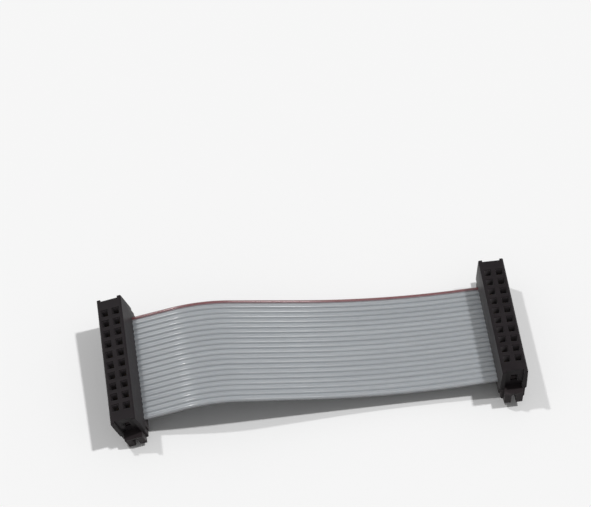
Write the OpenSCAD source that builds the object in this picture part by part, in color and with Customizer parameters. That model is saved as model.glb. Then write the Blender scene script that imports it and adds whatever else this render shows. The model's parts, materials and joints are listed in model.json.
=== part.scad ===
// Short flat ribbon cable with a 2-row insulation-displacement socket at each end.
// Millimetres. X runs along the cable from the left socket to the right one, Y across the ribbon
// and +Z up from the surface that the cable lies on. The origin is the bottom centre.

/* [Contacts] */
// Spacing of the contacts along each row; the wires sit at half of it
pitch = 2.54; // [2.1:0.01:3.2]
// Contacts in each of the two rows
columns = 10; // [3:1:12]
// Spacing of the two rows
row_gap = 2.54; // [2.2:0.01:3]
// Side of each square contact hole
hole_w = 1.45; // [1.2:0.01:1.75]
// Lead-in chamfer round each contact hole
lead_in = 0.15; // [0.05:0.01:0.25]
// Side of the square header pin that a contact grips
pin_w = 0.64; // [0.5:0.01:0.78]
// Thickness of the strip that the contacts are stamped from
strip_t = 0.25; // [0.18:0.01:0.32]
// Width of each of the two prongs that pierce the ribbon
prong_w = 0.38; // [0.3:0.01:0.46]
// Reach of the prongs' tips below the middle of the wires
prong_reach = 1.15; // [0.95:0.01:1.4]
// Rise of the gap between the prongs above the middle of the wires
gap_rise = 0.5; // [0.4:0.01:0.6]
// Height of the plate over that gap, up to the foot of the tines
plate_h = 0.65; // [0.54:0.01:0.8]
// Depth of the tines' tips under the mating face
tine_drop = 1.8; // [1.4:0.01:2.2]

/* [Ribbon] */
// Diameter of each wire's insulation
wire_d = 0.9; // [0.7:0.01:1.1]
// Diameter of each wire's stranded core
core_d = 0.38; // [0.3:0.01:0.46]
// Thickness of the web between two wires
web_t = 0.25; // [0.18:0.01:0.32]
// Straight run of ribbon out of the left socket
rise_len = 8.8; // [7:0.1:10.5]
// Bend radius of the ribbon over its crest
crest_r = 28; // [22:0.5:33]
// Slope of the ribbon down from its crest, in degrees
fall_angle = 10; // [9:0.5:13]
// Bend radius of the ribbon along its sag
sag_r = 150; // [120:1:180]
// Slope of the ribbon up to the right socket, in degrees
lift_angle = 4.5; // [3:0.5:5.5]
// Bend radius of the ribbon where it settles into the right socket
settle_r = 25; // [20:0.5:30]

/* [Socket] */
// Distance from an end contact to the end of the body
end_wall = 3.57; // [3.5:0.01:4.4]
// Width of the body just under its mating face
body_top_w = 5.5; // [5.2:0.1:6.6]
// Width of the body where it meets the ribbon
body_foot_w = 5.9; // [5.6:0.1:7.1]
// Height of the body
body_h = 6.64; // [5.5:0.01:8]
// Chamfer along the mating face
face_chamfer = 0.3; // [0.1:0.01:0.36]
// Chamfer at the ends of the mating face
end_chamfer = 0.1; // [0.08:0.01:0.12]
// Radius of the body's upright corners
corner_r = 0.3; // [0.1:0.01:0.36]
// Width of the channel in each end of the body
channel_w = 3.9; // [3.2:0.1:4.1]
// Depth of the channel in each end of the body
channel_d = 0.5; // [0.4:0.01:0.6]
// Depth of each channel's relief, from the foot up to the latch window
relief_d = 1; // [0.8:0.01:1.1]
// Backward lean of the left socket, in degrees
left_lean = 16; // [13:0.5:19]
// Backward lean of the right socket, in degrees
right_lean = 0; // [0:0.5:3]
// Roll of the left socket about the ribbon, which lifts its +Y end, in degrees
left_roll = 3.8; // [3:0.1:4.6]
// Roll of the right socket about the ribbon, which lifts its -Y end, in degrees
right_roll = 3; // [2.4:0.1:3.6]

/* [Cover] */
// Height of the cover under the ribbon
cover_h = 3.05; // [2.5:0.01:3.7]
// Width of the flat that the cover stands on
foot_w = 4.6; // [3.8:0.1:5.5]
// Height of the cover's bevelled long edges
bevel_h = 0.9; // [0.6:0.01:1.1]
// Bare length at each end of the body that the full-width cover stops short of
plate_inset = 1.1; // [0.9:0.01:1.3]
// Width of the cover's shoulders at the ends of the body
shoulder_w = 5.2; // [4.4:0.1:5.5]
// Width of the lug at each end of the cover
lug_w = 4; // [3.3:0.1:4.3]
// Reach of each lug past the end of the body
lug_reach = 1.25; // [1:0.01:1.5]
// Width of the arched notch under each lug
notch_w = 1.1; // [0.9:0.01:1.3]
// Reach of each notch past the end of the body, inwards
notch_in = 1; // [0.8:0.01:1.2]
// Thickness that each lug keeps over its notch
roof_t = 0.4; // [0.32:0.01:0.6]

/* [Latches] */
// Width of each latch leg
leg_w = 1.5; // [1.2:0.1:1.8]
// Thickness of each latch leg
leg_t = 0.6; // [0.48:0.01:0.64]
// Height of each latch leg over the cover, up to its hook
leg_h = 2.5; // [2:0.1:3]
// Reach of each latch hook
hook = 0.3; // [0.2:0.01:0.36]
// Height of each latch hook
hook_h = 0.7; // [0.5:0.01:0.84]
// Height of the window that each hook seats in
window_h = 2.6; // [2.1:0.1:3.1]

/* [Fits] */
// Clearance between the ribbon and the sockets
ribbon_fit = 0.03; // [0.02:0.01:0.04]
// Clearance between a core and its bore
core_fit = 0.01; // [0.01:0.01:0.03]
// Clearance between a contact and its slot
slot_fit = 0.02; // [0.01:0.01:0.04]
// Clearance between a contact's tines and its hole
tine_fit = 0.1; // [0.05:0.01:0.12]
// Clearance between a latch leg and its pocket
leg_fit = 0.04; // [0.02:0.01:0.06]
// Pinch of a contact on its pin
grip = 0.08; // [0.04:0.01:0.1]

/* [Hidden] */
$fn = 64;
over = 1;             // overshoot of a cut past the face it opens in
plastic = [0.19, 0.185, 0.19];
plastic_lid = [0.22, 0.21, 0.215];
jacket = [0.63, 0.64, 0.66];
tin = [0.78, 0.77, 0.74];
bronze = [0.80, 0.66, 0.38];

wires = 2 * columns;
wire_pitch = pitch / 2;
column_ys = [for (i = [0:columns - 1]) (i - (columns - 1) / 2) * pitch];
wire_ys = [for (i = [0:wires - 1]) (i - (wires - 1) / 2) * wire_pitch];
rows = [-1, 1];       // outer row and inner row, as signs of X in a socket

// Heights in a socket, from the cover's foot
ribbon_z = cover_h + ribbon_fit + web_t / 2;
body_z = ribbon_z + web_t / 2 + ribbon_fit;
socket_h = body_z + body_h;

// Lengths and widths in a socket
body_l = (columns - 1) * pitch + 2 * end_wall;
plate_l = body_l - 2 * plate_inset;
cover_l = body_l + 2 * lug_reach;
ribbon_w = (wires - 1) * wire_pitch + wire_d;
face_w = body_top_w - 2 * face_chamfer;
groove_d = wire_d + 2 * ribbon_fit;
pocket_d = 0.2;       // depth of the cover's pockets under the prongs' tips

// Latch legs stand between the ribbon's edges and the end channels
leg_gap = 0.35;       // from the ribbon's edge to a leg
leg_y = ribbon_w / 2 + leg_gap;
pad_y = leg_y - leg_fit;
hook_z = cover_h + leg_h;
hook_top_z = hook_z + hook_h;
window_top_z = hook_z + window_h;

// A contact, in the plane across the ribbon: x across, y up from the cover's foot
idc_shift = wire_pitch / 2;
idc_gap = core_d + 2 * slot_fit;
idc_w = idc_gap + 2 * prong_w;
tine_span = hole_w - 2 * tine_fit;
point_w = prong_w / 3;        // bevel of the prongs' and tines' tips
tip_z = ribbon_z - prong_reach;
crotch_z = ribbon_z + gap_rise;
shoulder_z = crotch_z + plate_h;
sill_z = shoulder_z - 0.6 * plate_h;
fork_z = shoulder_z + 0.25;   // floor between the tines
tine_z = socket_h - tine_drop;
pinch_z = tine_z - 0.55;      // narrowest point between the tines
pinch_w = pin_w - grip;
throat_w = pinch_w + 0.16;    // gap between the tines at their root
mouth_w = pinch_w + 0.3;      // gap between the tines at their tips

// The ribbon's route lies in the X-Z plane. A station is
// [x, z, heading in degrees above +X, length of ribbon up to it].
exit_x = body_foot_w / 2;
trim = 0.1;           // the ribbon's cut ends lie this far inside the body's sides
in_len = 2 * exit_x - trim;   // run of the ribbon inside a socket

// A point of a leaning socket, which turns about the outer edge of its foot
function lean_x(x, z, a) = (x + foot_w / 2) * cos(a) - z * sin(a) - foot_w / 2;
function lean_z(x, z, a) = (x + foot_w / 2) * sin(a) + z * cos(a);
// A point of a rolled socket, which turns about the middle of the ribbon
function rolled(p, r) = [
    p[0],
    p[1] * cos(r) - (p[2] - ribbon_z) * sin(r),
    ribbon_z + p[1] * sin(r) + (p[2] - ribbon_z) * cos(r),
];
// Lift that stands a rolled and leaning socket on the lowest corner of its foot
foot_corners = [
    for (s = [-1, 1]) each [[-foot_w / 2, s * body_l / 2, 0], [-lug_w / 2, s * cover_l / 2, 0]]
];
function lift(a, r) = -min([for (c = foot_corners) let (p = rolled(c, r)) lean_z(p[0], p[2], a)]);
left_lift = lift(left_lean, left_roll);
right_lift = lift(right_lean, right_roll);
// The station after a straight run, and after a bend, which is down for a negative turn
function ahead(s, run) = [s[0] + run * cos(s[2]), s[1] + run * sin(s[2]), s[2], s[3] + run];
function bent(s, r, turn) = [
    s[0] + sign(turn) * r * (sin(s[2] + turn) - sin(s[2])),
    s[1] - sign(turn) * r * (cos(s[2] + turn) - cos(s[2])),
    s[2] + turn,
    s[3] + r * abs(turn) * PI / 180,
];
// The stations along a bend, without its first
function bend_stations(s, r, turn, steps) = [for (k = [1:steps]) bent(s, r, turn * k / steps)];

crest_turn = -(left_lean + fall_angle);
sag_turn = fall_angle + lift_angle;
settle_turn = -(lift_angle + right_lean);

// Stations with the left socket's own place as X = 0
cut_end = [
    lean_x(trim - exit_x, ribbon_z, left_lean),
    lean_z(trim - exit_x, ribbon_z, left_lean) + left_lift,
    left_lean,
    0,
];
left_exit = ahead(cut_end, in_len);
rise_end = ahead(left_exit, rise_len);
crest_end = bent(rise_end, crest_r, crest_turn);
// The fall is as long as brings the ribbon down to the right socket's height
no_fall_end = bent(bent(crest_end, sag_r, sag_turn), settle_r, settle_turn);
right_exit_z = lean_z(exit_x, ribbon_z, right_lean) + right_lift;
fall_len = (no_fall_end[1] - right_exit_z) / sin(fall_angle);
fall_end = ahead(crest_end, fall_len);
sag_end = bent(fall_end, sag_r, sag_turn);
settle_end = bent(sag_end, settle_r, settle_turn);
stations = concat(
    [cut_end, left_exit, rise_end],
    bend_stations(rise_end, crest_r, crest_turn, 4),
    [fall_end],
    bend_stations(fall_end, sag_r, sag_turn, 5),
    [settle_end, ahead(settle_end, in_len)]
);

// Roll of the ribbon at a station: it twists evenly between the sockets
free_len = settle_end[3] - in_len;
function roll(s) =
    left_roll - (left_roll + right_roll) * min(max((s[3] - in_len) / free_len, 0), 1);

// Socket places along X, which centre the whole cable on the origin
span = settle_end[0] + lean_x(exit_x, ribbon_z, right_lean);
edge_y = body_l / 2 - corner_r;
outer_corners = [
    for (s = [-1, 1]) each [
        [-face_w / 2, s * edge_y, socket_h], [-body_top_w / 2, s * edge_y, socket_h - face_chamfer],
        [-body_foot_w / 2, s * edge_y, body_z], [-body_foot_w / 2, s * plate_l / 2, bevel_h],
    ]
];
function reach(a, r) =
    -min([for (c = outer_corners) let (p = rolled(c, r)) lean_x(p[0], p[2], a)]);
left_x = (reach(left_lean, left_roll) - reach(right_lean, right_roll) - span) / 2;
right_x = left_x + span;

function tag(i) = str(i < 10 ? "0" : "", i);
function contact_node(side, i) = str(side, "_contact_", tag(i));

// ---- placing ----

// Leans a socket back on the outer edge of its foot
module leaning(a) {
    translate([-foot_w / 2, 0, 0])
        rotate([0, -a, 0])
            translate([foot_w / 2, 0, 0])
                children();
}

// Rolls a socket about the middle of the ribbon
module rolling(r) {
    translate([0, 0, ribbon_z])
        rotate([r, 0, 0])
            translate([0, 0, -ribbon_z])
                children();
}

// Puts a socket at the left or right end of the ribbon, with its +X side towards the ribbon
module at_end(side) {
    if (side == "left") {
        translate([left_x, 0, left_lift])
            leaning(left_lean)
                rolling(left_roll)
                    children();
    } else {
        translate([right_x, 0, right_lift])
            rotate([0, 0, 180])
                leaning(right_lean)
                    rolling(right_roll)
                        children();
    }
}

// Extrudes a drawing of the X-Z plane along Y, centred
module along_y(length) {
    rotate([90, 0, 0])
        linear_extrude(length, center = true)
            children();
}

// Extrudes a drawing of the Y-Z plane along X, centred
module along_x(length) {
    rotate([90, 0, 90])
        linear_extrude(length, center = true)
            children();
}

// ---- ribbon ----

// Eight corners round each wire: four over the webs and four under them
web_angle = asin(web_t / wire_d);
corners = 8;
corner_angles = [for (side = [0, 180], k = [0:3]) side + web_angle + k * (180 - 2 * web_angle) / 3];
function wire_ring(y, d) = [for (a = corner_angles) [y + d / 2 * cos(a), d / 2 * sin(a)]];

// A loop of the Y-Z plane rolled and carried to a station of the route
function carried(s, loop) = [
    for (p = loop)
        let (side = p[0] * cos(roll(s)) - p[1] * sin(roll(s)))
            let (up = p[0] * sin(roll(s)) + p[1] * cos(roll(s)))
                [left_x + s[0] - up * sin(s[2]), side, s[1] + up * cos(s[2])]
];
// Four-sided faces cut in two, because a twist takes them out of flat
function halved(faces) = [
    for (f = faces) each len(f) == 4 ? [[f[0], f[1], f[2]], [f[0], f[2], f[3]]] : [f]
];
// The four-sided faces of a tube whose rings of n points follow each other from a first index
function tube_faces(n, rings, first, stride) = [
    for (s = [0:rings - 2], k = [0:n - 1])
        let (a = first + s * stride, b = a + stride, l = (k + 1) % n)
            [a + k, b + k, b + l, a + l]
];

// The insulation's rings hold, for each wire in turn, its outside and then its bore
ring_len = 2 * corners * wires;
last_ring = len(stations) - 1;
function outside(s, j, k) = s * ring_len + 2 * corners * j + k;
function bore(s, j, k) = outside(s, j, k) + corners;
// Sides of a wire that are open to the air: the webs cover the others
function open_sides(j) = concat(
    [0, 1, 2, 4, 5, 6], j == 0 ? [3] : [], j == wires - 1 ? [7] : []
);

// The grey insulation of all the wires: round wires joined by thin webs, with a bore for each core
module insulation_sweep() {
    loop = [for (y = wire_ys) each concat(wire_ring(y, wire_d), wire_ring(y, core_d + 2 * core_fit))];
    skin = [
        for (s = [0:last_ring - 1], j = [0:wires - 1], k = open_sides(j))
            let (l = (k + 1) % corners)
                [outside(s, j, k), outside(s + 1, j, k), outside(s + 1, j, l), outside(s, j, l)]
    ];
    webs = [
        for (s = [0:last_ring - 1], j = [1:wires - 1]) each [
            [outside(s, j, 3), outside(s + 1, j, 3), outside(s + 1, j - 1, 0), outside(s, j - 1, 0)],
            [outside(s, j - 1, 7), outside(s + 1, j - 1, 7), outside(s + 1, j, 4), outside(s, j, 4)],
        ]
    ];
    bores = [
        for (s = [0:last_ring - 1], j = [0:wires - 1], k = [0:corners - 1])
            let (l = (k + 1) % corners)
                [bore(s, j, l), bore(s + 1, j, l), bore(s + 1, j, k), bore(s, j, k)]
    ];
    cut_faces = [
        for (s = [0, last_ring], j = [0:wires - 1]) each concat(
            [
                for (k = [0:corners - 1])
                    let (l = (k + 1) % corners)
                        facing(s, [outside(s, j, k), outside(s, j, l), bore(s, j, l), bore(s, j, k)])
            ],
            j == 0 ? [] : [
                facing(s, [
                    outside(s, j, 4), outside(s, j, 3), outside(s, j - 1, 0), outside(s, j - 1, 7)
                ])
            ]
        )
    ];
    polyhedron(
        points = [for (s = stations) each carried(s, loop)],
        faces = halved(concat(skin, webs, bores, cut_faces))
    );
}

// A face of the first cut end, turned over for the last one
function facing(s, face) = s == 0 ? face : [for (i = [len(face) - 1:-1:0]) face[i]];

// The insulation, pierced where the contacts pass through it
module ribbon_insulation() {
    color(jacket)
        difference() {
            insulation_sweep();
            for (side = ["left", "right"])
                at_end(side)
                    prong_slots(cover_h - over, body_z + over);
        }
}

// The stranded cores, drawn as plain wires
module ribbon_cores() {
    color(tin)
        for (y = wire_ys) {
            loop = wire_ring(y, core_d);
            polyhedron(
                points = [for (s = stations) each carried(s, loop)],
                faces = concat(
                    halved(tube_faces(corners, len(stations), 0, corners)),
                    [
                        [for (k = [0:corners - 1]) k],
                        [for (k = [corners - 1:-1:0]) corners * last_ring + k],
                    ]
                )
            );
        }
}

// Slots that the prongs pass into, from one height to another
module prong_slots(low, high) {
    for (row = rows, y = column_ys)
        translate([row * row_gap / 2, y + row * idc_shift, (low + high) / 2])
            cube([strip_t + 2 * slot_fit, idc_w + 2 * slot_fit, high - low], center = true);
}

// ---- contacts ----

// Outline of a contact, with the pin on its axis and the wire to its +X side
module contact_outline() {
    left = idc_shift - idc_w / 2;
    right = idc_shift + idc_w / 2;
    difference() {
        polygon([
            [left + point_w, tip_z], [idc_shift - idc_gap / 2, tip_z + prong_w],
            [idc_shift - idc_gap / 2, crotch_z], [idc_shift + idc_gap / 2, crotch_z],
            [idc_shift + idc_gap / 2, tip_z + prong_w], [right - point_w, tip_z],
            [right, tip_z + prong_w], [right, shoulder_z],
            [tine_span / 2, shoulder_z], [tine_span / 2, tine_z - prong_w],
            [tine_span / 2 - point_w, tine_z], [mouth_w / 2, tine_z],
            [pinch_w / 2, pinch_z], [throat_w / 2, fork_z],
            [-throat_w / 2, fork_z], [-pinch_w / 2, pinch_z],
            [-mouth_w / 2, tine_z], [point_w - tine_span / 2, tine_z],
            [-tine_span / 2, tine_z - prong_w], [-tine_span / 2, sill_z],
            [left, sill_z], [left, tip_z + prong_w],
        ]);
        translate([idc_shift, crotch_z])
            circle(d = idc_gap, $fn = 24);
        translate([0, fork_z])
            circle(d = throat_w, $fn = 24);
    }
}

// One contact: a stamped blank whose prongs grip a core and whose tines grip a pin
module contact(i) {
    row = i % 2 == 1 ? rows[0] : rows[1];
    y = column_ys[floor((i - 1) / 2)];
    color(bronze)
        translate([row * row_gap / 2, y, 0])
            along_x(strip_t)
                mirror([row > 0 ? 0 : 1, 0])
                    contact_outline();
}

// ---- body ----

// Cross-section of the body: drafted sides and a chamfered mating face
module body_profile() {
    polygon([
        [-body_foot_w / 2, body_z], [body_foot_w / 2, body_z],
        [body_top_w / 2, socket_h - face_chamfer], [face_w / 2, socket_h],
        [-face_w / 2, socket_h], [-body_top_w / 2, socket_h - face_chamfer],
    ]);
}

// Long section of the body, with a small chamfer at its ends
module body_long_profile() {
    polygon([
        [-body_l / 2, body_z], [body_l / 2, body_z],
        [body_l / 2, socket_h - end_chamfer], [body_l / 2 - end_chamfer, socket_h],
        [end_chamfer - body_l / 2, socket_h], [-body_l / 2, socket_h - end_chamfer],
    ]);
}

// Plan of the body: round corners and a channel in each end
module body_plan() {
    x = body_foot_w / 2 - corner_r;
    y = body_l / 2 - corner_r;
    difference() {
        union() {
            square([body_foot_w, 2 * y], center = true);
            square([2 * x, body_l], center = true);
            for (sx = [-1, 1], sy = [-1, 1])
                translate([sx * x, sy * y])
                    circle(corner_r, $fn = 24);
        }
        for (s = [-1, 1])
            translate([0, s * body_l / 2])
                square([channel_w, 2 * channel_d], center = true);
    }
}

module body_block() {
    intersection() {
        along_y(body_l + 2 * over)
            body_profile();
        along_x(body_foot_w + 2 * over)
            body_long_profile();
        linear_extrude(socket_h + over)
            body_plan();
    }
}

// Half-round grooves that close on the wires
module wire_grooves() {
    translate([0, 0, ribbon_z])
        along_x(body_foot_w + 2 * over)
            for (y = wire_ys)
                translate([y, 0])
                    circle(d = groove_d, $fn = 32);
}

// Square holes for the pins and tines, open at the mating face
module pin_holes() {
    depth = socket_h + over - shoulder_z;
    for (row = rows, y = column_ys)
        translate([row * row_gap / 2, y, shoulder_z + depth / 2])
            cube([hole_w, hole_w, depth], center = true);
}

// Outline of a hole's lead-in, widening upwards
module lead_in_outline() {
    half = hole_w / 2;
    polygon([
        [-half, socket_h - lead_in], [half, socket_h - lead_in],
        [half + lead_in + over, socket_h + over], [-half - lead_in - over, socket_h + over],
    ]);
}

// All the lead-ins, where long wedges along the rows cross short ones
module lead_ins() {
    intersection() {
        for (row = rows)
            translate([row * row_gap / 2, 0, 0])
                along_y(body_l)
                    lead_in_outline();
        for (y = column_ys)
            translate([0, y, 0])
                along_x(body_foot_w)
                    lead_in_outline();
        translate([-body_foot_w / 2, -body_l / 2, 0])
            cube([body_foot_w, body_l, socket_h + lead_in / 2]);
    }
}

// Thin slots under the holes, in which the plates of the contacts are held
module contact_slots() {
    near = -tine_span / 2 - slot_fit;
    far = idc_shift + idc_w / 2 + slot_fit;
    for (row = rows, y = column_ys)
        translate([row * row_gap / 2, y + row * (near + far) / 2, (cover_h + shoulder_z) / 2])
            cube([strip_t + 2 * slot_fit, far - near, shoulder_z - cover_h], center = true);
}

// Pocket for a latch leg, with a window into the end channel that its hook seats in
module latch_pocket() {
    w = leg_w + 2 * leg_fit;
    translate([-w / 2, leg_y - leg_fit, cover_h])
        cube([w, leg_t + 2 * leg_fit, window_top_z - cover_h]);
    translate([-w / 2, leg_y, hook_z])
        cube([w, body_l / 2 - leg_y, window_h]);
}

// Deeper foot of an end channel, which thins the wall that the hook springs past
module channel_relief() {
    translate([-channel_w / 2, body_l / 2 - relief_d, body_z - over])
        cube([channel_w, relief_d + over, hook_z - body_z + over]);
}

module both_ends() {
    for (s = [0, 180])
        rotate([0, 0, s])
            children();
}

// The moulded housing of a socket
module socket_body() {
    color(plastic)
        difference() {
            body_block();
            wire_grooves();
            pin_holes();
            lead_ins();
            contact_slots();
            both_ends() {
                latch_pocket();
                channel_relief();
            }
        }
}

// ---- cover ----

// Plan of the cover: a plate under the ribbon, shoulders, and a lug at each end
module cover_plan() {
    square([body_foot_w, plate_l], center = true);
    square([shoulder_w, body_l], center = true);
    square([lug_w, cover_l], center = true);
}

// Arched notches under the lugs, open at the foot and at the tip
module lug_notches() {
    spring_z = body_z - roof_t - notch_w / 2;
    run = notch_in + lug_reach + over;
    for (s = [-1, 1])
        translate([0, s * (body_l / 2 - notch_in + run / 2), 0])
            along_y(run) {
                translate([0, spring_z])
                    circle(d = notch_w);
                translate([-notch_w / 2, -over])
                    square([notch_w, spring_z + over]);
            }
}

// Cross-section of the cover, with bevelled long edges
module cover_profile() {
    polygon([
        [-foot_w / 2, 0], [foot_w / 2, 0], [body_foot_w / 2, bevel_h],
        [body_foot_w / 2, body_z], [-body_foot_w / 2, body_z], [-body_foot_w / 2, bevel_h],
    ]);
}

// Space over the cover's plate that the ribbon passes through
module ribbon_gap() {
    translate([-body_foot_w, -pad_y, cover_h])
        cube([2 * body_foot_w, 2 * pad_y, body_z]);
}

// Latch leg with a hook at its top
module latch_leg() {
    translate([-leg_w / 2, leg_y, cover_h - over])
        cube([leg_w, leg_t, hook_top_z - cover_h + over]);
    rotate([90, 0, 90])
        linear_extrude(leg_w, center = true)
            polygon([
                [leg_y, hook_z], [leg_y + leg_t + hook, hook_z],
                [leg_y + leg_t + hook, hook_z + hook_h / 3], [leg_y + leg_t, hook_top_z],
                [leg_y, hook_top_z],
            ]);
}

// The cover that clamps the ribbon onto the contacts
module socket_cover() {
    color(plastic_lid)
        difference() {
            union() {
                intersection() {
                    along_y(cover_l + 2 * over)
                        cover_profile();
                    linear_extrude(body_z)
                        cover_plan();
                }
                both_ends()
                    latch_leg();
            }
            ribbon_gap();
            lug_notches();
            wire_grooves();
            prong_slots(tip_z - pocket_d, body_z);
        }
}

// ---- nodes ----

at_end("left") socket_body();  // left_body
at_end("left") socket_cover();  // left_cover
at_end("right") socket_body();  // right_body
at_end("right") socket_cover();  // right_cover
ribbon_insulation();
ribbon_cores();
for (side = ["left", "right"], i = [1:wires])
    at_end(side) contact(i);
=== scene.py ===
import json
from math import cos, radians, sin

import bmesh
import bpy
import numpy as np
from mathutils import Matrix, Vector


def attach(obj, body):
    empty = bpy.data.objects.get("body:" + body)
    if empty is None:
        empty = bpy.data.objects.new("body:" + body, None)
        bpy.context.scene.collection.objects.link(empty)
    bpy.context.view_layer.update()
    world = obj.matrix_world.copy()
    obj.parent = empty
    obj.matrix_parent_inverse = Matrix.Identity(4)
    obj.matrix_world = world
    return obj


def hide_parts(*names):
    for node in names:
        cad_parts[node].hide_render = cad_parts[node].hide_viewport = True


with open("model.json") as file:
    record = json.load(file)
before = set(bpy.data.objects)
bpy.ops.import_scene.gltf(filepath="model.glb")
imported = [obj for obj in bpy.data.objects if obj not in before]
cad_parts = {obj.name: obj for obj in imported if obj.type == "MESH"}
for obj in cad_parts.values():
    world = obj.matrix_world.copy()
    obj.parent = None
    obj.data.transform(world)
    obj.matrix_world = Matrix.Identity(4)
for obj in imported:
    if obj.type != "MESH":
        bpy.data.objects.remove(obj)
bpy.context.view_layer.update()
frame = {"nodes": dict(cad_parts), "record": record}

# ---- Camera ----
# It stands in front of the cable, a little to the left, and looks down on it. Its lens is long,
# as for a small thing on a table.
mm = 0.001
azimuth, elevation = radians(-7.19), radians(56.41)
camera_distance = 498.2 * mm
aim = Vector((0.36, 28.84, 0.0)) * mm
towards_camera = Vector((
    sin(azimuth) * cos(elevation), -cos(azimuth) * cos(elevation), sin(elevation)))
camera_data = bpy.data.cameras.new("camera")
camera_data.sensor_width = 36
camera_data.lens = 134.0
camera_data.clip_start = 0.01
camera_data.clip_end = 20
camera = bpy.data.objects.new("camera", camera_data)
camera.location = aim + towards_camera * camera_distance
camera.rotation_mode = "QUATERNION"
camera.rotation_quaternion = (-towards_camera).to_track_quat("-Z", "Y")
bpy.context.scene.collection.objects.link(camera)
bpy.context.scene.camera = camera
bpy.context.scene.view_settings.view_transform = "Standard"


# ---- Studio ----
# A white table top and a white surround. Two small lamps hang over the table, the main one to
# the right and the weaker one to the left, and the surround gives the rest of the light evenly.
def sun_lamp(name, towards, strength, spread):
    """A lamp so far off that its rays run side by side. It lies in the direction towards, and its
    disc is spread degrees across."""
    data = bpy.data.lights.new(name, "SUN")
    data.energy = strength
    data.angle = radians(spread)
    lamp = bpy.data.objects.new(name, data)
    lamp.rotation_mode = "QUATERNION"
    lamp.rotation_quaternion = Vector(towards).to_track_quat("Z", "Y")
    bpy.context.scene.collection.objects.link(lamp)


sun_lamp("main_lamp", towards=(0.51, 0.06, 1.0), strength=1.55, spread=3)
sun_lamp("left_lamp", towards=(-0.42, 0.28, 0.9), strength=0.88, spread=2.5)


def seen_directly(nodes, links):
    """One where a ray comes from the camera, from a gloss or through glass, and nought for plain
    light."""
    path = nodes.new("ShaderNodeLightPath")
    seen = path.outputs["Is Camera Ray"]
    for kind in ("Is Glossy Ray", "Is Transmission Ray"):
        either = nodes.new("ShaderNodeMath")
        either.operation = "MAXIMUM"
        links.new(seen, either.inputs[0])
        links.new(path.outputs[kind], either.inputs[1])
        seen = either.outputs[0]
    return seen


surround_light = 0.27
world = bpy.data.worlds.new("surround")
bpy.context.scene.world = world
world.use_nodes = True
nodes, links = world.node_tree.nodes, world.node_tree.links
background = nodes["Background"]
background.inputs["Color"].default_value = (1, 1, 1, 1)
strength = nodes.new("ShaderNodeMapRange")
strength.inputs["To Min"].default_value = surround_light
strength.inputs["To Max"].default_value = 1.0
links.new(seen_directly(nodes, links), strength.inputs["Value"])
links.new(strength.outputs["Result"], background.inputs["Strength"])

table_size = 3.0
table_white, table_bounce = 0.97, 0.3      # how pale it looks, and how much light it sends up
table_mesh = bpy.data.meshes.new("table_top")
corner = table_size / 2
table_mesh.from_pydata(
    [(-corner, -corner, 0), (corner, -corner, 0), (corner, corner, 0), (-corner, corner, 0)],
    [], [(0, 1, 2, 3)])
table_top = bpy.data.objects.new("table_top", table_mesh)
bpy.context.scene.collection.objects.link(table_top)
table_paint = bpy.data.materials.new("table_paint")
table_paint.use_nodes = True
nodes, links = table_paint.node_tree.nodes, table_paint.node_tree.links
nodes.remove(nodes["Principled BSDF"])
matt = nodes.new("ShaderNodeBsdfDiffuse")
paleness = nodes.new("ShaderNodeMapRange")
paleness.inputs["To Min"].default_value = table_bounce
paleness.inputs["To Max"].default_value = table_white
links.new(seen_directly(nodes, links), paleness.inputs["Value"])
links.new(paleness.outputs["Result"], matt.inputs["Color"])
links.new(matt.outputs[0], nodes["Material Output"].inputs["Surface"])
table_mesh.materials.append(table_paint)


# ---- Conductors ----
# Each of the 20 wires holds seven tinned copper strands, one straight in the middle and six laid
# round it. They follow the ribbon from one cut end to the other, so only their ends show, at the
# sockets' outer sides.
wires = 20
wire_pitch = 1.27 * mm
wire_ys = (np.arange(wires) - (wires - 1) / 2) * wire_pitch
mounts = {m["name"]: m for m in frame["record"]["mounts"]}
left_mount, right_mount = mounts["left_mating_face"], mounts["right_mating_face"]
left_face, right_face = np.array(left_mount["pos_m"]), np.array(right_mount["pos_m"])
left_up, right_up = np.array(left_mount["axis"]), np.array(right_mount["axis"])
left_lean = np.arctan2(-left_up[0], left_up[2])
left_roll, right_roll = np.arcsin(-left_up[1]), np.arcsin(-right_up[1])

ribbon_drop = 6.795 * mm      # from a mating face down to the middle of the wires
half_socket = 2.95 * mm       # from a socket's middle to its sides
cut_inset = 0.1 * mm          # the ribbon's cut ends lie this far inside the sockets' outer sides
inside_length = 2 * half_socket - cut_inset
rise_length = 8.8 * mm
crest_radius, crest_turn = 28 * mm, radians(-26)
fall_angle = radians(10)
sag_radius, sag_turn = 150 * mm, radians(14.5)
settle_radius, settle_turn = 25 * mm, radians(-4.5)


def leg_stations(start, length, turn, count):
    """Stations [x, z, heading, distance run] along a leg that turns evenly. The chord to a share f
    of the leg is the arc's length times the sinc of half its turn, and it points half-way between
    its headings."""
    f = np.linspace(0, 1, count + 1)[1:]
    chord = length * f * np.sinc(turn * f / (2 * np.pi))
    middle = start[2] + turn * f / 2
    return np.column_stack([
        start[0] + chord * np.cos(middle), start[1] + chord * np.sin(middle),
        start[2] + turn * f, start[3] + length * f])


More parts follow.
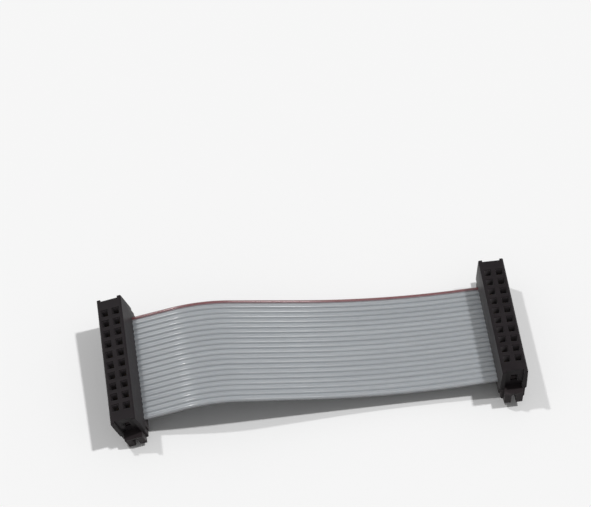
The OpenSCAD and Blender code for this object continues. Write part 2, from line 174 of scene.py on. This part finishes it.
def route(spacing):
    """All the stations of the ribbon's middle line, about as far apart as spacing: straight out of
    the left socket, over the crest, down, along the sag and level into the right socket. The
    straight fall's length is the drop that the bends leave to it over the sine of its angle."""
    entry, arrival = left_face - ribbon_drop * left_up, right_face - ribbon_drop * right_up
    back = half_socket - cut_inset
    first = np.array([
        entry[0] - back * cos(left_lean), entry[2] - back * sin(left_lean), left_lean, 0.0])
    rise = inside_length + rise_length
    crest, sag, settling = (
        (radius * abs(turn), turn) for radius, turn in (
            (crest_radius, crest_turn), (sag_radius, sag_turn), (settle_radius, settle_turn)))
    end = first
    for length, turn in ((rise, 0), crest, sag, settling):
        end = leg_stations(end, length, turn, 1)[-1]
    fall = (end[1] - arrival[2]) / sin(fall_angle)
    stations = [first[None]]
    for length, turn in ((rise, 0), crest, (fall, 0), sag, settling, (inside_length, 0)):
        count = int(np.ceil(length / spacing))
        stations.append(leg_stations(stations[-1][-1], length, turn, count))
    return np.concatenate(stations)


def carried(stations, across, above):
    """Points of a section carried along the route, from their distances across and above its
    middle. The section has the left socket's roll inside that socket, twists evenly on the way and
    has the right socket's roll inside the right one."""
    along_first = (-1,) + (1,) * (np.ndim(above) - 1)
    x, z, heading, run = (stations[:, k].reshape(along_first) for k in range(4))
    free_length = stations[-1, 3] - 2 * inside_length
    twisted = np.clip((run - inside_length) / free_length, 0, 1)
    roll = left_roll + (right_roll - left_roll) * twisted
    side = across * np.cos(roll) - above * np.sin(roll)
    up = across * np.sin(roll) + above * np.cos(roll)
    return np.stack([x - up * np.sin(heading), side, z + up * np.cos(heading)], axis=-1)


def quad_mesh(name, points, *faces, sharp_from=radians(50)):
    """A smooth mesh from an array of points and one or more arrays of four-cornered faces. Edges
    that turn by more than sharp_from stay sharp."""
    mesh = bpy.data.meshes.new(name)
    quads = np.concatenate([part.reshape(-1, 4) for part in faces]).astype(np.int32)
    mesh.vertices.add(points.size // 3)
    mesh.vertices.foreach_set("co", points.astype(np.float32).ravel())
    mesh.loops.add(quads.size)
    mesh.loops.foreach_set("vertex_index", quads.ravel())
    mesh.polygons.add(len(quads))
    mesh.polygons.foreach_set("loop_start", np.arange(0, quads.size, 4, dtype=np.int32))
    mesh.update(calc_edges=True)
    mesh.validate()
    mesh.shade_smooth()
    mesh.set_sharp_from_angle(angle=sharp_from)
    return mesh


def add_piece(name, mesh, material, slot, *nodes):
    """Puts a mesh into the scene as a piece that stands for CAD nodes."""
    mesh.materials.clear()
    mesh.materials.append(material)
    piece = bpy.data.objects.new(name, mesh)
    bpy.context.scene.collection.objects.link(piece)
    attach(piece, "root")
    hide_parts(*nodes)
    return piece


def base_material(name, roughness, metallic, specular):
    """A material with its surface shader, and the object's own coordinates."""
    material = bpy.data.materials.new(name)
    material.use_nodes = True
    nodes, links = material.node_tree.nodes, material.node_tree.links
    surface = nodes["Principled BSDF"]
    surface.inputs["Roughness"].default_value = roughness
    surface.inputs["Metallic"].default_value = metallic
    surface.inputs["Specular IOR Level"].default_value = specular
    place = nodes.new("ShaderNodeTexCoord")
    return material, nodes, links, surface, place.outputs["Object"]


def noise(nodes, links, place, scale, detail=3.0, stretch=(1, 1, 1)):
    """Grey noise from 0 to 1. Its grain along each axis is one metre over scale times stretch."""
    mapping = nodes.new("ShaderNodeMapping")
    mapping.inputs["Scale"].default_value = stretch
    links.new(place, mapping.inputs["Vector"])
    texture = nodes.new("ShaderNodeTexNoise")
    texture.inputs["Scale"].default_value = scale
    texture.inputs["Detail"].default_value = detail
    links.new(mapping.outputs["Vector"], texture.inputs["Vector"])
    return texture.outputs["Fac"]


noise_low, noise_high = 0.3, 0.7      # nearly all of the noise lies between these


def tinted(nodes, links, value, colours, low=noise_low, high=noise_high):
    """Two or more colours spread evenly over a value, between its low and high ends."""
    ramp = nodes.new("ShaderNodeValToRGB")
    elements = ramp.color_ramp.elements
    while len(elements) < len(colours):
        elements.new(0.5)
    for k, colour in enumerate(colours):
        elements[k].position = low + (high - low) * k / (len(colours) - 1)
        elements[k].color = (*colour, 1)
    links.new(value, ramp.inputs["Fac"])
    return ramp.outputs["Color"]


def ranged(nodes, links, value, start, end, low=noise_low, high=noise_high):
    """A value that runs from low to high, made to run from start to end."""
    spread = nodes.new("ShaderNodeMapRange")
    spread.inputs["From Min"].default_value = low
    spread.inputs["From Max"].default_value = high
    spread.inputs["To Min"].default_value = start
    spread.inputs["To Max"].default_value = end
    links.new(value, spread.inputs["Value"])
    return spread.outputs["Result"]


def bumped(nodes, links, surface, *layers):
    """Lays bumps on a surface, one over another. Each layer is its height value and its depth in
    metres."""
    normal = None
    for height, depth in layers:
        bump = nodes.new("ShaderNodeBump")
        bump.inputs["Strength"].default_value = 1.0
        bump.inputs["Distance"].default_value = depth
        links.new(height, bump.inputs["Height"])
        if normal is not None:
            links.new(normal, bump.inputs["Normal"])
        normal = bump.outputs["Normal"]
    links.new(normal, surface.inputs["Normal"])


strand_radius = 0.0635 * mm
strand_sides = 6
outer_strands = 6
lay_length = 16 * mm          # the outer strands turn once round the middle one in this length
core_stations = route(spacing=1.3 * mm)
turning = 2 * np.pi * core_stations[:, 3] / lay_length
around_core = np.arange(outer_strands) * 2 * np.pi / outer_strands + turning[:, None]
middle_strand = np.zeros((len(turning), 1))
strand_y = np.concatenate([middle_strand, 2 * strand_radius * np.cos(around_core)], axis=1)
strand_z = np.concatenate([middle_strand, 2 * strand_radius * np.sin(around_core)], axis=1)
rim = np.arange(strand_sides) * 2 * np.pi / strand_sides
# Axes: station, wire, strand, side of the strand
strand_across = (
    wire_ys[None, :, None, None] + strand_y[:, None, :, None] + strand_radius * np.cos(rim))
strand_above = strand_z[:, None, :, None] + strand_radius * np.sin(rim) + 0 * strand_across
strand_points = carried(core_stations, strand_across, strand_above)


def walls(ring_index):
    """The four-sided faces between each ring and the next, facing away from the rings' middle."""
    following = np.roll(ring_index, -1, axis=-1)
    return np.stack([ring_index[:-1], following[:-1], following[1:], ring_index[1:]], axis=-1)


index = np.arange(strand_above.size).reshape(strand_above.shape)
half_caps = [(0, 1, 2, 3), (0, 3, 4, 5)]
strand_starts = np.stack([index[0][..., cap[::-1]] for cap in half_caps], axis=-2)
strand_ends = np.stack([index[-1][..., cap] for cap in half_caps], axis=-2)
strand_mesh = quad_mesh("conductors", strand_points, walls(index), strand_starts, strand_ends)

tinned, nodes, links, surface, place = base_material(
    "tinned_copper_wire", roughness=0.32, metallic=1.0, specular=0.5)
drawn = noise(nodes, links, place, scale=4000)
tin = tinted(nodes, links, drawn, [(0.50, 0.48, 0.45), (0.66, 0.65, 0.62)])
links.new(tin, surface.inputs["Base Color"])
bumped(nodes, links, surface, (drawn, 0.003 * mm))
add_piece("conductors", strand_mesh, tinned, "tinned_copper", "ribbon_cores")


# ---- Ribbon insulation ----
# Soft grey vinyl, extruded round all the wires at once, so that the round wires are joined by
# thin webs. The outer side of the wire on the +Y edge is dyed a dull red along its whole length.
wire_radius = 0.45 * mm
web_half = 0.125 * mm         # half a web's thickness
bore_radius = 0.2 * mm
half_ring = 10                # corners of a wire's outside above the webs, and as many below
web_angle = np.arcsin(web_half / wire_radius)
top_arc = np.linspace(web_angle, np.pi - web_angle, half_ring)
ring = np.concatenate([top_arc, top_arc + np.pi])
radii = np.array([wire_radius, bore_radius])
# Axes: wire, outside or bore, corner of the ring
section_across = wire_ys[:, None, None] + radii[:, None] * np.cos(ring)
section_above = radii[:, None] * np.sin(ring) + 0 * section_across
ribbon_stations = route(spacing=1.0 * mm)
shape = (len(ribbon_stations),) + section_above.shape
ribbon_across = np.broadcast_to(section_across, shape)
ribbon_above = np.broadcast_to(section_above, shape)
ribbon_points = carried(ribbon_stations, ribbon_across, ribbon_above)

# A ring's corners run over the wire, from its far side, towards +Y, to its near side, towards
# -Y, and back under it. Each half of the ring starts and ends where the webs join it.
index = np.arange(ribbon_above.size).reshape(shape)
skin, bore = index[:, :, 0], index[:, :, 1]
top_far, top_near, bottom_near, bottom_far = 0, half_ring - 1, half_ring, 2 * half_ring - 1

# The sides that face another wire stay open, and the webs close the gaps above and below.
has_wall = np.ones((wires, 2 * half_ring), bool)
has_wall[1:, top_near] = False
has_wall[:-1, bottom_far] = False
skin_walls = walls(skin)[:, has_wall]
bore_walls = walls(bore)[..., ::-1]
top_webs = np.stack([
    skin[:-1, 1:, top_near], skin[:-1, :-1, top_far],
    skin[1:, :-1, top_far], skin[1:, 1:, top_near]], axis=-1)
bottom_webs = np.stack([
    skin[:-1, :-1, bottom_far], skin[:-1, 1:, bottom_near],
    skin[1:, 1:, bottom_near], skin[1:, :-1, bottom_far]], axis=-1)


def cut_face(end):
    """The cut face at one end: a flat ring round each bore, and a strip for each web."""
    outer, inner = skin[end], bore[end]
    rings = np.stack([
        outer, inner, np.roll(inner, -1, axis=-1), np.roll(outer, -1, axis=-1)], axis=-1)
    strips = np.stack([
        outer[1:, top_near], outer[1:, bottom_near],
        outer[:-1, bottom_far], outer[:-1, top_far]], axis=-1)
    faces = np.concatenate([rings.reshape(-1, 4), strips.reshape(-1, 4)])
    return faces if end == 0 else faces[:, ::-1]


ribbon_mesh = quad_mesh(
    "insulation", ribbon_points, skin_walls, bore_walls, top_webs, bottom_webs,
    cut_face(0), cut_face(-1))
# Each corner keeps its place along, across and above the ribbon, as if the ribbon lay straight.
lengthwise = ribbon_mesh.attributes.new("lengthwise", "FLOAT_VECTOR", "POINT")
run = np.broadcast_to(ribbon_stations[:, 3, None, None, None], shape)
lengthwise.data.foreach_set(
    "vector", np.stack([run, ribbon_across, ribbon_above], axis=-1).astype(np.float32).ravel())
# The dye value is the cosine of the way round the +Y wire from the ribbon's very edge, so it
# falls from one to minus one. On the other wires it is lower still, out of the dye's reach.
undyed = -1.5
dye_values = np.full(shape[1:], undyed)
dye_values[-1, 0] = np.cos(ring)
dye = ribbon_mesh.attributes.new("dye", "FLOAT", "POINT")
dye.data.foreach_set("value", np.broadcast_to(dye_values, shape).astype(np.float32).ravel())


def blended(nodes, links, share, first, second, blend_type="MIX"):
    """The first colour with a share of the second laid over it, or multiplied into it. The share
    and the second colour are sockets or plain values."""
    mix = nodes.new("ShaderNodeMix")
    mix.data_type = "RGBA"
    mix.blend_type = blend_type
    links.new(first, mix.inputs["A"])
    for name, value in (("Factor", share), ("B", second)):
        if isinstance(value, bpy.types.NodeSocket):
            links.new(value, mix.inputs[name])
        else:
            mix.inputs[name].default_value = value
    return mix.outputs["Result"]


vinyl, nodes, links, surface, _ = base_material(
    "grey_vinyl", roughness=0.34, metallic=0.0, specular=0.25)
straight_place = nodes.new("ShaderNodeAttribute")
straight_place.attribute_name = "lengthwise"
along = straight_place.outputs["Vector"]
streaks = noise(nodes, links, along, 1.0, detail=4.0, stretch=(60, 5000, 5000))
batches = noise(nodes, links, along, 1.0, detail=2.0, stretch=(25, 900, 300))
ragged = noise(nodes, links, along, 1.0, detail=2.0, stretch=(900, 9000, 9000))
fine = noise(nodes, links, along, 1.0, detail=3.0, stretch=(2500, 2500, 2500))
grey = tinted(nodes, links, batches, [(0.437, 0.463, 0.489), (0.489, 0.515, 0.540)])

# Painted light: the sides of each wire are painted paler than its top and the webs, to lift the
# shade in the creases between wires. The paleness rises from the web to half-way up the side and
# falls again at a set share of the wire's radius.
crease_light_top = 0.65
crease_light_tones = [(0.75, 0.75, 0.75), (1.0, 1.0, 1.0), (0.75, 0.75, 0.75)]
parts = nodes.new("ShaderNodeSeparateXYZ")
links.new(along, parts.inputs["Vector"])
height = nodes.new("ShaderNodeMath")
height.operation = "ABSOLUTE"
links.new(parts.outputs["Z"], height.inputs[0])
height_share = nodes.new("ShaderNodeMath")
height_share.operation = "DIVIDE"
height_share.inputs[1].default_value = wire_radius
links.new(height.outputs[0], height_share.inputs[0])
painted_crease_light = tinted(
    nodes, links, height_share.outputs[0], crease_light_tones, web_half / wire_radius, crease_light_top)
grey_with_painted_crease_light = blended(nodes, links, 1.0, grey, painted_crease_light, "MULTIPLY")

dye_raggedness = 0.25
dye_starts, dye_full = -0.95, -0.35      # dye values between which the red comes in
dull_red = (0.18, 0.052, 0.058, 1)
dye_value = nodes.new("ShaderNodeAttribute")
dye_value.attribute_name = "dye"
dye_edge = nodes.new("ShaderNodeMath")
dye_edge.operation = "MULTIPLY_ADD"
dye_edge.inputs[1].default_value = dye_raggedness
links.new(ragged, dye_edge.inputs[0])
links.new(dye_value.outputs["Fac"], dye_edge.inputs[2])
dyed = ranged(nodes, links, dye_edge.outputs[0], 0.0, 1.0, dye_starts, dye_full)
links.new(blended(nodes, links, dyed, grey_with_painted_crease_light, dull_red), surface.inputs["Base Color"])
links.new(ranged(nodes, links, batches, 0.30, 0.38), surface.inputs["Roughness"])
bumped(nodes, links, surface, (streaks, 0.006 * mm), (fine, 0.004 * mm))
surface.inputs["Subsurface Weight"].default_value = 0.6
surface.inputs["Subsurface Radius"].default_value = (1.0, 0.9, 0.85)
surface.inputs["Subsurface Scale"].default_value = 0.5 * mm
surface.inputs["Coat Weight"].default_value = 0.9
surface.inputs["Coat Roughness"].default_value = 0.16
add_piece("insulation", ribbon_mesh, vinyl, "ribbon_jacket", "ribbon_insulation")


# ---- Contacts ----
# Stamped from hard bronze strip, with the tool's fine drag lines on their faces. Each stands in
# its slot under a hole of the body, pushed up from below before the cover goes on.
bronze, nodes, links, surface, place = base_material(
    "bronze_strip", roughness=0.34, metallic=1.0, specular=0.5)
tarnish_and_shade = noise(nodes, links, place, scale=1500)
# The bronze is painted much darker than bare bronze: painted shade for the contacts deep in their
# holes, with a slight random tone.
painted_shade_bronze = tinted(nodes, links, tarnish_and_shade, [(0.20, 0.14, 0.08), (0.30, 0.22, 0.13)])
links.new(painted_shade_bronze, surface.inputs["Base Color"])
drag_lines = noise(nodes, links, place, 1.0, detail=2.0, stretch=(9000, 9000, 700))
bumped(nodes, links, surface, (drag_lines, 0.004 * mm))
for name, node in frame["nodes"].items():
    if "_contact_" in name:
        node.material_slots[0].material = bronze


# ---- Covers and bodies ----
# Moulded in black glass-filled plastic with a fine matt grain. The cover is pressed up under the
# ribbon until its latch legs snap into the body, so nothing else holds a socket together.
pin_pitch = 2 * wire_pitch
row_length = wires / 2 * pin_pitch
hole_reach = 0.8 * mm         # a little over half a pin hole's width
mouth_depth = 0.3 * mm        # a hole's bevelled mouth lies above this depth, its lining below
# A paler grey painted into the pin holes' linings: painted light in the shaded holes.
painted_hole_light_grey = (0.165, 0.149, 0.155, 1)
sharp_angle = radians(30)
edge_round = 0.05 * mm


def softened(node):
    """A copy of a CAD node's mesh with its flat faces made whole."""
    mesh = frame["nodes"][node].data.copy()
    shell = bmesh.new()
    shell.from_mesh(mesh)
    bmesh.ops.remove_doubles(shell, verts=shell.verts, dist=0.0005 * mm)
    bmesh.ops.dissolve_limit(
        shell, angle_limit=radians(0.5), verts=shell.verts, edges=shell.edges)
    shell.to_mesh(mesh)
    shell.free()
    mesh.name = node
    mesh.shade_smooth()
    mesh.set_sharp_from_angle(angle=sharp_angle)
    return mesh


def mark_pin_holes(mesh, face_middle, up):
    """Marks the faces that line a body's pin holes, by an attribute, for the painted light laid in
    them. A face is told by where its middle lies: x across the two rows, y along them and z above
    the mating face."""
    middles = np.empty(len(mesh.polygons) * 3)
    mesh.polygons.foreach_get("center", middles)
    across = np.array([up[2], 0, -up[0]]) / np.hypot(up[0], up[2])
    directions = np.array([across, np.cross(up, across), up])
    x, y, z = directions @ (middles.reshape(-1, 3) - face_middle).T
    from_row = np.abs(np.abs(x) - pin_pitch / 2)
    from_pin = np.abs((y + pin_pitch / 2) % pin_pitch - pin_pitch / 2)
    in_hole = (from_row < hole_reach) & (from_pin < hole_reach) & (np.abs(y) < row_length / 2)
    marks = mesh.attributes.new("pin_hole_light_mask", "FLOAT", "FACE")
    marks.data.foreach_set("value", (in_hole & (z < -mouth_depth)).astype(np.float32))


def moulded(name, dark, light):
    """Black moulded plastic: a fine grain, a slight swirl in its colour and gloss, and soft waves.
    The linings of the pin holes are painted a much paler grey, as painted light in those deep,
    shaded holes."""
    material, nodes, links, surface, place = base_material(
        name, roughness=0.45, metallic=0.0, specular=0.06)
    swirl = noise(nodes, links, place, scale=350)
    black = tinted(nodes, links, swirl, [dark, light])
    pin_hole_light_mask = nodes.new("ShaderNodeAttribute")
    pin_hole_light_mask.attribute_name = "pin_hole_light_mask"
    colour = blended(nodes, links, pin_hole_light_mask.outputs["Fac"], black, painted_hole_light_grey)
    links.new(colour, surface.inputs["Base Color"])
    links.new(ranged(nodes, links, swirl, 0.40, 0.50), surface.inputs["Roughness"])
    surface.inputs["Sheen Weight"].default_value = 0.17
    surface.inputs["Sheen Roughness"].default_value = 0.4
    grain = noise(nodes, links, place, scale=14000, detail=2.0)
    waves = noise(nodes, links, place, scale=900, detail=2.0)
    bumped(nodes, links, surface, (waves, 0.01 * mm), (grain, 0.004 * mm))
    return material


# The cover's black is painted paler than the body's: painted light that lifts its shaded lugs.
cover_black_painted_paler = moulded("cover_plastic", (0.034, 0.027, 0.029), (0.044, 0.037, 0.039))
body_black = moulded("body_plastic", (0.0135, 0.0108, 0.0122), (0.0190, 0.0155, 0.0172))
for side, face_middle, up in (("left", left_face, left_up), ("right", right_face, right_up)):
    for part, material in (("cover", cover_black_painted_paler), ("body", body_black)):
        node = f"{side}_{part}"
        mesh = softened(node)
        if part == "body":
            mark_pin_holes(mesh, face_middle, up)
        piece = add_piece(f"{side}_socket_{part}", mesh, material, part + "_plastic", node)
        rounding = piece.modifiers.new("edges", "BEVEL")
        rounding.width = edge_round
        rounding.segments = 2
        rounding.limit_method = "ANGLE"
        rounding.angle_limit = sharp_angle
        rounding.harden_normals = True
